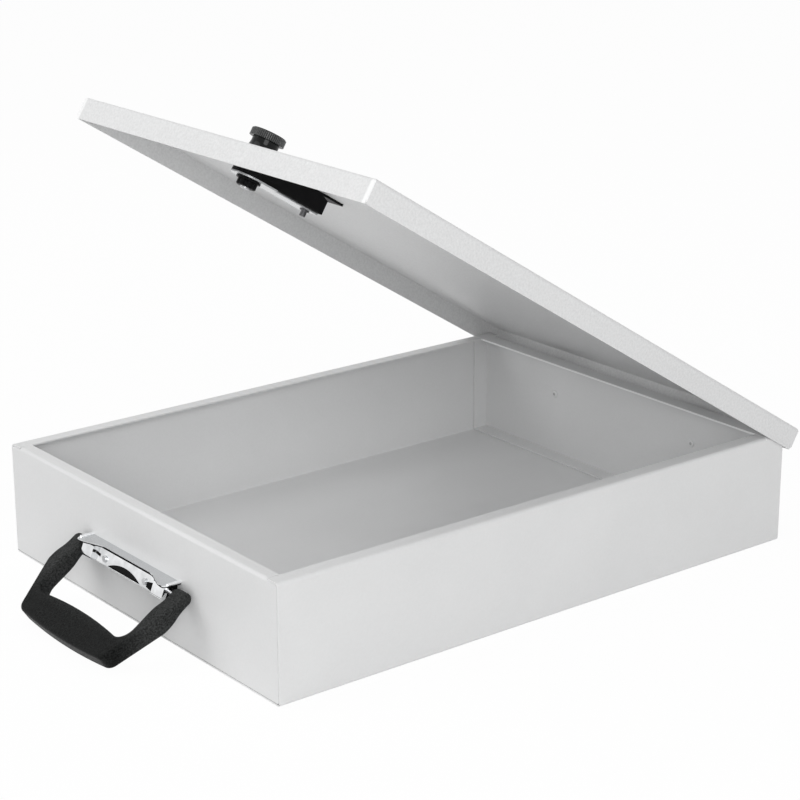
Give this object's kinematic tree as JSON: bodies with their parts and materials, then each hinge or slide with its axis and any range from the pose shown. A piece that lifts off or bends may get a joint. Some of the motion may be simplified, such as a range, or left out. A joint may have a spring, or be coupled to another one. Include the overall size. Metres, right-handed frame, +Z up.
{
  "type": "lockable document case",
  "caption": "Shallow sheet-steel document case with a hinged slip-over lid standing open, a knurled knob lock that drives a sliding bolt, and a swinging grip handle on the front wall.",
  "frame": {"origin": "centre of the case floor's underside, on the table", "axes": "+X to the right seen from the front, +Y from the handle wall to the hinges, +Z up"},
  "size_m": [0.254, 0.3983, 0.2469],
  "materials": {
    "case_paint": "light grey powder coat with a fine orange-peel texture, satin",
    "plain_steel": "plain drawn steel, slightly dull",
    "bright_chrome": "bright chrome plate",
    "zinc_plate": "bright zinc plate with fine rolling lines",
    "grip_black": "moulded black plastic with a fine leather grain",
    "knob_black": "moulded black plastic, satin",
    "lock_black": "black coated steel, satin"
  },
  "bodies": {
    "base": {"base_wrapper": "case_paint", "front_panel": "case_paint", "rear_panel": "case_paint", "hinge_body_leaf_left": "case_paint", "hinge_body_leaf_right": "case_paint", "hinge_pin_left": "plain_steel", "hinge_pin_right": "plain_steel", "hinge_rivets": "case_paint", "handle_bracket": "bright_chrome", "handle_rivets": "bright_chrome"},
    "lid": {"lid_pan": "case_paint", "hinge_lid_leaf_left": "case_paint", "hinge_lid_leaf_right": "case_paint", "lock_housing": "lock_black", "lock_bottom_plate": "zinc_plate", "lock_collar": "knob_black", "lock_stud": "plain_steel"},
    "knob": {"lock_knob": "knob_black", "lock_spindle": "plain_steel", "lock_crank": "plain_steel", "lock_washer": "lock_black", "lock_nut": "lock_black"},
    "bolt": {"lock_bolt": "plain_steel"},
    "handle": {"handle_grip": "grip_black", "handle_pins": "plain_steel"}
  },
  "joints": [
    {"name": "lid_hinge", "type": "hinge", "parent": "base", "child": "lid", "pos_m": [0, 0.17525, 0.05], "axis": [-1, 0, 0], "range_deg": [-31.9, 68.1]},
    {"name": "handle_swing", "type": "hinge", "parent": "base", "child": "handle", "pos_m": [0, -0.17445, 0.03175], "axis": [-1, 0, 0], "range_deg": [-48.4, 32.6]},
    {"name": "knob_turn", "type": "hinge", "parent": "lid", "child": "knob", "pos_m": [0, -0.08891, 0.23127], "axis": [0, -0.5284, -0.849], "range_deg": [0, 90]},
    {"name": "bolt_slide", "type": "slide", "parent": "lid", "child": "bolt", "axis": [0, -0.849, 0.5284], "range_m": [0, 0.0071]}
  ],
  "couplings": [
    {"joint": "bolt_slide", "follows": "knob_turn", "m_per_rad": 0.0045016}
  ]
}
